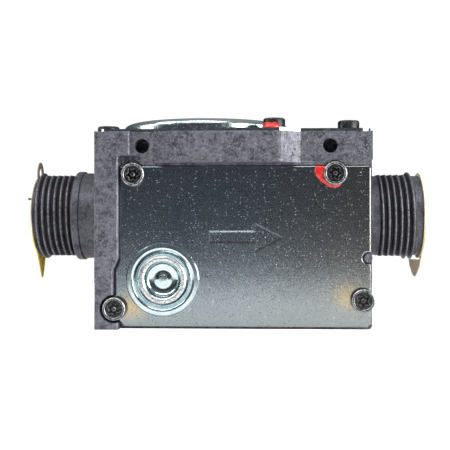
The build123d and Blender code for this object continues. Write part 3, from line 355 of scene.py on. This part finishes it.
def inlet_film():
    """Coloured paper film: yellow on its tab, deeper towards the point, with a dark brown edge; painted shade
    turns it brown up on the loop and pip.
    """
    p = Paint("seal_yellow")
    fibre = p.noise(0.4 * MM, detail=3, roughness=0.7)
    down = p.axis("Z")
    base = p.mix(p.span(down, -8 * MM, -17 * MM), (0.98, 0.74, 0.03), (0.72, 0.47, 0.01))
    base = p.mix(p.span(down, -8 * MM, -3 * MM), base, (0.92, 0.84, 0.52))
    # painted shade: the top of the film, its loop and pip, darkened to brown
    base = p.mix(p.span(down, -3.5 * MM, 0.5 * MM), base, (0.30, 0.235, 0.15))
    base = p.mix(p.span(p.axis("X"), -0.6 * MM, -1.0 * MM), base, (0.085, 0.070, 0.035))
    base = p.mix(p.span(fibre, 0.5, 0.8, 0.0, 0.4), base, (0.80, 0.72, 0.52))
    p.bump(fibre, 0.03 * MM)
    p.bump(p.noise(5 * MM, detail=2), 0.15 * MM)
    return p.done(base, p.span(fibre, 0.3, 0.7, 0.45, 0.65))


def outlet_film():
    """Buff paper, speckled, darker gold-brown low on the rim, with a pale crease where the tongue starts."""
    p = Paint("seal_cream")
    fibre = p.noise(0.5 * MM, detail=3, roughness=0.75)
    down = p.axis("Z")
    base = p.mix(p.span(fibre, 0.35, 0.65), (0.74, 0.60, 0.40), (0.92, 0.80, 0.60))
    low_rim = p.maths("MULTIPLY", p.span(down, -2 * MM, -7 * MM),
                      p.span(down, -13.3 * MM, -12.6 * MM))
    base = p.mix(p.maths("MULTIPLY", low_rim, 0.75), base, (0.50, 0.36, 0.15))
    crease = p.maths("MULTIPLY", p.span(down, -12.6 * MM, -13.0 * MM), p.span(down, -14.0 * MM, -13.5 * MM))
    base = p.mix(p.maths("MULTIPLY", crease, 0.7), base, (0.80, 0.71, 0.56))
    specks = p.span(p.cells(0.7 * MM), 0.2, 0.1)
    base = p.mix(p.maths("MULTIPLY", specks, 0.4), base, (0.36, 0.28, 0.18))
    p.bump(fibre, 0.05 * MM)
    p.bump(p.noise(4 * MM, detail=2), 0.2 * MM)
    return p.done(base, p.span(fibre, 0.3, 0.7, 0.55, 0.75))


MATERIALS = {
    "cast_aluminium": cast_aluminium(),
    "zinc_plate": zinc_plate(),
    "bright_zinc": bright_zinc(),
    "black_screw": black_screw(),
    "red_lacquer": red_lacquer(),
    "nitrile": moulded("nitrile", (0.012, 0.012, 0.013), (0.03, 0.03, 0.032), 0.55),
    "turned_aluminium": plain_metal("turned_aluminium", (0.52, 0.53, 0.55), (0.72, 0.73, 0.75), 0.3,
                                    0.25 * MM, (0.2, 3.0, 0.2)),
    "spring_steel": plain_metal("spring_steel", (0.30, 0.29, 0.27), (0.52, 0.51, 0.49), 0.3),
    "soft_iron": plain_metal("soft_iron", (0.22, 0.22, 0.23), (0.42, 0.42, 0.43), 0.42),
    "tube_brass": plain_metal("tube_brass", (0.55, 0.38, 0.14), (0.75, 0.56, 0.26), 0.3),
    "copper_winding": plain_metal("copper_winding", (0.30, 0.08, 0.02), (0.72, 0.27, 0.09), 0.32,
                                  0.3 * MM, (0.3, 2.2, 0.3)),
    "bobbin_plastic": moulded("bobbin_plastic", (0.32, 0.30, 0.26), (0.46, 0.44, 0.39), 0.5),
    "housing_plastic": moulded("housing_plastic", (0.013, 0.013, 0.014), (0.028, 0.028, 0.030), 0.42,
                               depth=0.05 * MM),
    "cap_plastic": moulded("cap_plastic", (0.62, 0.63, 0.60), (0.74, 0.75, 0.72), 0.4),
    "strainer_steel": plain_metal("strainer_steel", (0.38, 0.38, 0.39), (0.58, 0.58, 0.60), 0.28),
    "seal_yellow": inlet_film(),
    "seal_cream": outlet_film(),
}
WORN_AND_HIGHLIT = worn_and_highlit_screw()

for part in frame["record"]["subparts"]:
    node = NODES[part["node"]]
    node.data.materials.clear()
    node.data.materials.append(MATERIALS[part["material_slot"]])


# ---- shared mesh helpers ----


def new_piece(name, bm, material, body, node=None):
    """Turn a bmesh into a piece that rides on a body and, if a node is named, stands for it."""
    mesh = bpy.data.meshes.new(name)
    bm.to_mesh(mesh)
    bm.free()
    mesh.materials.append(material)
    piece = bpy.data.objects.new(name, mesh)
    bpy.context.scene.collection.objects.link(piece)
    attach(piece, body)
    if node:
        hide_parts(node)
    return piece


def smooth_by_angle(bm, degrees):
    """Smooth shading, with creases where two faces meet at more than the given angle."""
    bm.normal_update()
    for face in bm.faces:
        face.smooth = True
    for edge in bm.edges:
        edge.smooth = len(edge.link_faces) == 2 and edge.calc_face_angle(0) < math.radians(degrees)


def grid_surface(bm, rows, closed):
    """Faces between rows of points. Each row is a closed ring if closed is true."""
    made = [[bm.verts.new(p) for p in row] for row in rows]
    for a, b in zip(made, made[1:]):
        count = len(a)
        for i in range(count if closed else count - 1):
            j = (i + 1) % count
            bm.faces.new((a[i], a[j], b[j], b[i]))
    return made


# ---- body: the casting, with true helical threads in place of the CAD model's plain ridges ----
THREAD_R, THREAD_PITCH = 13.22 * MM, 1.814 * MM
THREAD_ROOT_R = THREAD_R - 0.640327 * THREAD_PITCH
RIDGE_HALF, RIDGE_FLANK = 0.755 * MM, 0.605 * MM
FLAT_Z = 12.25 * MM
TURN_STEPS, ROW_STEP = 300, 0.11 * MM
LEAD_IN = 0.35 * MM
COARSE_PER_METRE, FINE_PER_METRE = 900, 2600


def thread_radius(x, turn, depth, first, run_out):
    """Radius of a cast thread at distance depth from the port's end.
    A crest lies at first when turn is pi."""
    phase = (x - first - THREAD_PITCH * (turn - math.pi) / math.tau) / THREAD_PITCH
    off = abs(phase - round(phase)) * THREAD_PITCH
    ridge = min(1.0, max(0.0, (RIDGE_HALF - off) / RIDGE_FLANK))
    fade = min(1.0, max(0.0, (run_out - depth) / (0.6 * MM)))
    return THREAD_ROOT_R + (THREAD_R - THREAD_ROOT_R) * ridge * fade


def port_rows(end_x, inwards, first, first_turn_depth, lead, run_out, length, seed):
    """Rings of points of a threaded port's outside, from its end face inwards."""
    rows = []
    for i in range(int(length / ROW_STEP) + 2):
        depth = min(i * ROW_STEP, length)
        x = end_x + inwards * depth
        ring = []
        for k in range(TURN_STEPS):
            turn = math.tau * k / TURN_STEPS
            radius = thread_radius(x, turn, depth, first, run_out)
            starts = lead + THREAD_PITCH * inwards * (turn - math.pi) / math.tau
            share = min(1.0, max(0.0, (depth - starts) / LEAD_IN))
            radius = THREAD_ROOT_R + (radius - THREAD_ROOT_R) * share
            radius = min(radius, THREAD_ROOT_R + 0.1 * MM + depth * 2.0)
            spot = Vector((x, radius * math.cos(turn), radius * math.sin(turn)))
            rough = noise.noise(spot * COARSE_PER_METRE + Vector((seed, 0, 0))) * 0.05
            rough += noise.noise(spot * FINE_PER_METRE) * 0.03
            radius += rough * MM * min(1.0, depth / (0.5 * MM)) * (0.4 + (radius - THREAD_ROOT_R) / MM)
            radius = min(radius, THREAD_R)
            height = radius * math.sin(turn)
            if depth > first_turn_depth and abs(height) > FLAT_Z:
                radius = FLAT_Z / abs(math.sin(turn))
            ring.append((x, radius * math.cos(turn), radius * math.sin(turn)))
        rows.append(ring)
    return rows


def build_body():
    """Copy the casting, cut off its plain ridges and put a thread on each port."""
    bm = bmesh.new()
    bm.from_mesh(NODES["valve_body"].data)
    ports = (
        dict(end_x=0.0, inwards=1, first=1.35 * MM, first_turn_depth=2.3 * MM, lead=-2 * MM,
             run_out=11.5 * MM, length=11.5 * MM, seed=3.0),
        dict(end_x=BODY_LENGTH, inwards=-1, first=BODY_LENGTH - 2.75 * MM, first_turn_depth=4.3 * MM,
             lead=1.7 * MM, run_out=12.9 * MM, length=14.4 * MM, seed=8.0),
    )
    for port in ports:
        reach = sorted((port["end_x"], port["end_x"] + port["inwards"] * port["length"]))
        low, high = reach[0] - 1e-5, reach[1] + 1e-5
        ridges = [
            f for f in bm.faces
            if all(low < v.co.x < high and math.hypot(v.co.y, v.co.z) > THREAD_ROOT_R - 0.1 * MM
                   for v in f.verts)
        ]
        bmesh.ops.delete(bm, geom=ridges, context="FACES")
    smooth_by_angle(bm, 25)
    for port in ports:
        threads = bmesh.new()
        grid_surface(threads, port_rows(**port), closed=True)
        bmesh.ops.recalc_face_normals(threads, faces=threads.faces)
        smooth_by_angle(threads, 180)
        made = bpy.data.meshes.new("threads")
        threads.to_mesh(made)
        threads.free()
        bm.from_mesh(made)
        bpy.data.meshes.remove(made)
    new_piece("cast_body", bm, MATERIALS["cast_aluminium"], "valve", "valve_body")


build_body()


# ---- flow arrow: sloping sides round the plate's raised arrow ----
PLATE_FACE_Y = -18.5 * MM
ARROW_HEIGHT, ARROW_SLOPE = 0.35 * MM, 0.6 * MM
ARROW = ((53.7, -5.1), (66.75, -5.1), (66.75, -3.05), (73.6, -6.5),
         (66.75, -10.05), (66.75, -7.55), (53.7, -7.55))


def offset_outline(points, distance):
    """A clockwise outline moved outwards, with its corners kept sharp."""
    moved = []
    for i, here in enumerate(points):
        before = (here - points[i - 1]).normalized()
        after = (points[(i + 1) % len(points)] - here).normalized()
        out = Vector((-before.y - after.y, before.x + after.x)).normalized()
        moved.append(here + out * distance / max(0.3, out.dot(Vector((-before.y, before.x)))))
    return moved


def build_arrow():
    """A strip of slope round the arrow. The faces that look down take the black screw steel as painted shade,
    the others plated.
    """
    bm = bmesh.new()
    outline = [Vector((x * MM, z * MM)) for x, z in ARROW]
    rows = [[(q.x, PLATE_FACE_Y - height, q.y) for q in offset_outline(outline, reach)]
            for reach, height in ((ARROW_SLOPE, 0.01 * MM), (0.1 * MM, ARROW_HEIGHT), (0.0, ARROW_HEIGHT))]
    grid_surface(bm, rows, closed=True)
    bmesh.ops.recalc_face_normals(bm, faces=bm.faces)
    bm.normal_update()
    if bm.faces[0].normal.y > 0:
        bmesh.ops.reverse_faces(bm, faces=bm.faces)
    for face in bm.faces:
        # painted shade: faces that look down take the black steel
        face.material_index = int(face.normal.z < -0.1)
    piece = new_piece("flow_arrow_sides", bm, MATERIALS["zinc_plate"], "valve")
    piece.data.materials.append(MATERIALS["black_screw"])


build_arrow()


# ---- screws: a turned head with a six-point socket, its edges made bright as rubbed wear and painted highlight ----
FLANGE_TOP_Z, SUNK_SEAT_Z = 25.0 * MM, 23.1 * MM
PLATE_SCREWS = ((31.4, 11.6), (89.3, 11.85), (26.0, -27.0), (97.2, -24.4))
COVER_SCREWS = ((72.0, -15.0), (94.2, -8.0), (23.6, 31.5), (76.4, 33.0), (94.2, 31.0))
SUNK_SCREW = (23.0, -12.0)
SHANK_R, SHANK_LENGTH = 1.6 * MM, 8 * MM
SOCKET_TIP_R, SOCKET_SIDE_R, SOCKET_DEPTH, PIN_R = 2.0 * MM, 1.30 * MM, 1.45 * MM, 0.6 * MM
SCREW_STEPS = 96


def socket_radius(turn, phase):
    """Six pointed tips with hollow sides between them."""
    lobe = abs((turn - phase) * 6 / math.tau % 1.0 * 2 - 1)
    return SOCKET_SIDE_R + (SOCKET_TIP_R - SOCKET_SIDE_R) * lobe ** 1.7


def screw_rings(head_r, head_h, phase):
    """(radius as a function of turn, height, whether its edge is rubbed bright as wear and painted highlight)
    for each ring of a screw, from its tip to its pin.
    """
    def plain(radius):
        return lambda turn: radius

    def star(scale, extra=0.0):
        return lambda turn: socket_radius(turn, phase) * scale + extra

    return [
        (plain(0.02 * MM), -SHANK_LENGTH, False),
        (plain(SHANK_R), -SHANK_LENGTH, False),
        (plain(SHANK_R), 0.0, False),
        (plain(head_r), 0.0, False),
        (plain(head_r), head_h - 0.55 * MM, False),
        (plain(head_r - 0.12 * MM), head_h - 0.22 * MM, True),
        (plain(head_r - 0.42 * MM), head_h, False),
        (plain(head_r - 0.70 * MM), head_h, True),
        (plain(head_r - 0.85 * MM), head_h - 0.12 * MM, False),
        (star(1.0, 0.16 * MM), head_h - 0.12 * MM, True),
        (star(1.0), head_h - 0.30 * MM, False),
        (star(0.95), head_h - SOCKET_DEPTH, False),
        (plain(PIN_R), head_h - SOCKET_DEPTH, False),
        (plain(PIN_R), head_h - 0.45 * MM, True),
        (plain(PIN_R * 0.7), head_h - 0.28 * MM, False),
        (plain(0.02 * MM), head_h - 0.28 * MM, False),
    ]


def add_screw(bm, seat, up, head_r, head_h, phase):
    """Add one screw whose head stands on seat and points up."""
    side = up.orthogonal().normalized()
    other = up.cross(side)
    rings = screw_rings(head_r, head_h, phase)
    rows = []
    for radius, height, _ in rings:
        turns = [math.tau * k / SCREW_STEPS for k in range(SCREW_STEPS)]
        rows.append([seat + up * height + (side * math.cos(t) + other * math.sin(t)) * radius(t)
                     for t in turns])
    start = len(bm.faces)
    grid_surface(bm, rows, closed=True)
    bm.faces.ensure_lookup_table()
    # edge rings take the second material: rubbed wear and painted highlight
    for i, face in enumerate(bm.faces[start:]):
        face.material_index = int(rings[i // SCREW_STEPS][2])


def build_screws(name, node, seats, up, head_r, head_h):
    """One piece with a screw on each seat, each turned a little further than the last."""
    bm = bmesh.new()
    for number, seat in enumerate(seats):
        add_screw(bm, Vector(seat), Vector(up), head_r, head_h, 0.35 + number * 0.83)
    bmesh.ops.recalc_face_normals(bm, faces=bm.faces)
    smooth_by_angle(bm, 22)
    piece = new_piece(name, bm, MATERIALS["black_screw"], "valve", node)
    # second material: rubbed wear and painted highlight on the edges
    piece.data.materials.append(WORN_AND_HIGHLIT)


build_screws("plate_screw_heads", "front_cover_screws",
             [(x * MM, PLATE_FACE_Y, z * MM) for x, z in PLATE_SCREWS],
             (0, -1, 0), 3.4 * MM, 2.6 * MM)
build_screws("cover_screw_heads", "diaphragm_cover_screws",
             [(x * MM, y * MM, FLANGE_TOP_Z) for x, y in COVER_SCREWS]
             + [(SUNK_SCREW[0] * MM, SUNK_SCREW[1] * MM, SUNK_SEAT_Z)],
             (0, 0, 1), 3.2 * MM, 3.1 * MM)


# ---- lacquer: two thick dabs that cling to a screw head and feather out on the sheet ----
DAB_RINGS, DAB_STEPS = 12, 60


def add_dab(bm, centre, right, up, out, head_r, height, reach):
    """reach lists (angle in degrees, distance from the screw's axis) along the dab's outer edge."""
    rows = []
    for step in range(DAB_RINGS + 1):
        across = step / DAB_RINGS
        row = []
        for k in range(DAB_STEPS + 1):
            share = k / DAB_STEPS * (len(reach) - 1)
            i = min(int(share), len(reach) - 2)
            (a0, r0), (a1, r1) = reach[i], reach[i + 1]
            turn = math.radians(a0 + (a1 - a0) * (share - i))
            edge = r0 + (r1 - r0) * (share - i)
            body = math.sin(math.pi * (k / DAB_STEPS)) ** 0.4
            radius = head_r + (edge - head_r) * across
            rise = height * body * math.sqrt(max(0.0, 1 - across ** 1.6))
            spot = centre + (right * math.cos(turn) + up * math.sin(turn)) * radius
            rise *= 1 + 0.25 * noise.noise(spot * COARSE_PER_METRE)
            row.append(spot + out * (rise + 0.02 * MM))
        rows.append(row)
    grid_surface(bm, rows, closed=False)


def round_dab(offset_x, offset_y, radius, first, last):
    """Outer edge of a round dab whose middle is off the screw's axis, as add_dab's reach."""
    reach = []
    for degrees in range(first, last + 1, 4):
        along = offset_x * math.cos(math.radians(degrees)) + offset_y * math.sin(math.radians(degrees))
        inside = along ** 2 - offset_x ** 2 - offset_y ** 2 + radius ** 2
        reach.append((degrees, along + math.sqrt(max(0.0, inside))))
    return reach


def build_lacquer():
    """One dab on the upper right plate screw and one on the middle cover screw."""
    bm = bmesh.new()
    plate_dab = [(141, 3.45), (150, 4.3), (158, 5.75), (170, 5.9), (181, 5.7), (199, 4.85),
                 (230, 4.1), (262, 4.2), (291, 3.85), (302, 3.42)]
    centre = Vector((PLATE_SCREWS[1][0] * MM, PLATE_FACE_Y, PLATE_SCREWS[1][1] * MM))
    add_dab(bm, centre, Vector((1, 0, 0)), Vector((0, 0, 1)), Vector((0, -1, 0)), 3.38 * MM, 0.75 * MM,
            [(a, r * MM) for a, r in plate_dab])
    centre = Vector((COVER_SCREWS[0][0] * MM, COVER_SCREWS[0][1] * MM, FLANGE_TOP_Z))
    add_dab(bm, centre, Vector((1, 0, 0)), Vector((0, 1, 0)), Vector((0, 0, 1)), 3.18 * MM, 1.9 * MM,
            round_dab(-0.7 * MM, -1.4 * MM, 2.95 * MM, 183, 304))
    bmesh.ops.recalc_face_normals(bm, faces=bm.faces)
    smooth_by_angle(bm, 80)
    new_piece("lacquer_dabs", bm, MATERIALS["red_lacquer"], "valve", "tamper_seal_lacquer")


build_lacquer()


# ---- springs and diaphragms, which stretch between the body and what they push ----
def bridge(node_name, moving, start, end, weight=None):
    """A copy of a node that holds to the valve at start and follows a moving body at end.
    weight, if given, works out each vertex's share of the movement from its place."""
    mesh = NODES[node_name].data.copy()
    piece = bpy.data.objects.new(f"{node_name}_flexing", mesh)
    bpy.context.scene.collection.objects.link(piece)
    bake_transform(piece, "valve", moving, start, end)
    if weight:
        shares = [weight(v.co) for v in mesh.vertices]
        mesh.attributes["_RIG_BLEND"].data.foreach_set("value", shares)
    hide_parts(node_name)


def radial(axis_point, keep, inner, outer):
    """1 within inner of an axis, falling smoothly to 0 at outer."""
    def weight(place):
        off = Vector(a * k for a, k in zip(place - Vector(axis_point), keep)).length
        share = min(1.0, max(0.0, (outer - off) / (outer - inner)))
        return share * share * (3 - 2 * share)
    return weight


MAIN_AXIS = (50.9 * MM, 9.5 * MM)
PILOT_XZ, REGULATOR_XZ = (39.8 * MM, 8.3 * MM), (78.5 * MM, -3.0 * MM)
bridge("diaphragm_spring", "main_valve", (*MAIN_AXIS, 27.05 * MM), (*MAIN_AXIS, 21.45 * MM))
bridge("safety_valve_spring", "safety_valve",
       (CUP_X, -17.85 * MM, CUP_Z), (CUP_X, -7.45 * MM, CUP_Z))
bridge("pilot_valve_spring", "pilot_valve", (PILOT_XZ[0], 53.85 * MM, PILOT_XZ[1]),
       (PILOT_XZ[0], 47.05 * MM, PILOT_XZ[1]))
bridge("modulator_spring", "modulator_armature",
       (REGULATOR_XZ[0], 60.55 * MM, REGULATOR_XZ[1]), (REGULATOR_XZ[0], 56.05 * MM, REGULATOR_XZ[1]))
bridge("servo_diaphragm", "main_valve", (*MAIN_AXIS, 20 * MM), (*MAIN_AXIS, 19 * MM),
       radial((*MAIN_AXIS, 0), (1, 1, 0), 15.2 * MM, 18.8 * MM))


# ---- studio: camera, floor, light ----
CAMERA_PLACE = (68.8 * MM, -269.7 * MM, -2.9 * MM)
CAMERA_TURN = math.radians(2.5)
LENS = 69.92  # focal length in millimetres, on Blender's default 36 mm sensor
FLOOR_R = 0.20


def build_camera():
    """In front of the valve, a little to the right of its middle and turned towards it."""
    camera = bpy.data.objects.new("camera", bpy.data.cameras.new("camera"))
    camera.data.lens = LENS
    camera.location = CAMERA_PLACE
    camera.rotation_euler = (math.pi / 2, 0, CAMERA_TURN)
    camera.data.clip_start = 0.01
    bpy.context.scene.collection.objects.link(camera)
    bpy.context.scene.camera = camera


def build_floor():
    """A round pale sheet under the object. It ends where the white surround takes over."""
    bm = bmesh.new()
    centre = (CAD_LOW + CAD_HIGH) / 2
    bmesh.ops.create_circle(bm, cap_ends=True, segments=128, radius=FLOOR_R)
    bmesh.ops.translate(bm, verts=bm.verts, vec=(centre.x, 0, CAD_LOW.z))
    mesh = bpy.data.meshes.new("floor")
    bm.to_mesh(mesh)
    bm.free()
    p = Paint("floor_card")
    card = p.noise(3 * MM, detail=3)
    white = p.mix(card, (0.88, 0.88, 0.88), (0.91, 0.91, 0.91))
    # it looks as white as the surround, but lights the object no more than card would
    p.feed(p.shader.inputs["Emission Color"], white)
    p.feed(p.shader.inputs["Emission Strength"], p.node("ShaderNodeLightPath").outputs["Is Camera Ray"])
    mesh.materials.append(p.done(white, 0.9))
    floor = bpy.data.objects.new("floor", mesh)
    bpy.context.scene.collection.objects.link(floor)


def softbox(name, place, width, height, power, mirrored=True):
    """An area light that faces the object's middle. Unmirrored ones light it without showing in its shine."""
    light = bpy.data.lights.new(name, "AREA")
    light.shape = "RECTANGLE"
    light.size, light.size_y = width, height
    light.energy = power
    lamp = bpy.data.objects.new(name, light)
    lamp.location = place
    aim = (CAD_LOW + CAD_HIGH) / 2 - Vector(place)
    lamp.rotation_euler = aim.to_track_quat("-Z", "Y").to_euler()
    lamp.visible_glossy = mirrored
    bpy.context.scene.collection.objects.link(lamp)


def build_world():
    """White to the eye, and a dim room with a paler ceiling to everything that it lights."""
    world = bpy.data.worlds.new("room")
    world.use_nodes = True
    tree = world.node_tree
    tree.nodes.clear()
    seen = tree.nodes.new("ShaderNodeLightPath").outputs["Is Camera Ray"]
    direction = tree.nodes.new("ShaderNodeTexCoord").outputs["Generated"]
    split = tree.nodes.new("ShaderNodeSeparateXYZ")
    tree.links.new(direction, split.inputs[0])
    ramp = tree.nodes.new("ShaderNodeValToRGB")
    span = tree.nodes.new("ShaderNodeMapRange")
    span.inputs["From Min"].default_value = -1.0
    tree.links.new(split.outputs["Z"], span.inputs["Value"])
    tree.links.new(span.outputs["Result"], ramp.inputs["Fac"])
    stops = ramp.color_ramp.elements
    stops[0].position, stops[0].color = 0.45, (0.10, 0.105, 0.11, 1)
    stops[1].position, stops[1].color = 0.95, (0.35, 0.36, 0.38, 1)
    middle = stops.new(0.60)
    middle.color = (0.035, 0.042, 0.055, 1)
    room = tree.nodes.new("ShaderNodeBackground")
    tree.links.new(ramp.outputs["Color"], room.inputs["Color"])
    white = tree.nodes.new("ShaderNodeBackground")
    white.inputs["Color"].default_value = (1, 1, 1, 1)
    white.inputs["Strength"].default_value = 1.05
    either = tree.nodes.new("ShaderNodeMixShader")
    tree.links.new(seen, either.inputs[0])
    tree.links.new(room.outputs[0], either.inputs[1])
    tree.links.new(white.outputs[0], either.inputs[2])
    output = tree.nodes.new("ShaderNodeOutputWorld")
    tree.links.new(either.outputs[0], output.inputs["Surface"])
    bpy.context.scene.world = world


build_camera()
build_floor()
build_world()
softbox("overhead", (0.05, 0.05, 0.75), 0.9, 0.9, 5.5, mirrored=False)
softbox("front_top", (0.02, -0.38, 0.50), 0.50, 0.20, 2.0)
softbox("right_side", (0.55, -0.36, 0.13), 0.26, 0.34, 2.6)
softbox("right_wing", (0.64, -0.12, 0.10), 0.26, 0.30, 1.8)
softbox("left_wing", (-0.50, -0.05, 0.12), 0.20, 0.26, 0.9)
softbox("left_top", (-0.38, -0.22, 0.42), 0.26, 0.26, 0.9)
softbox("rear", (0.10, 0.55, 0.45), 0.6, 0.3, 1.2, mirrored=False)
bpy.context.scene.view_settings.view_transform = "Standard"
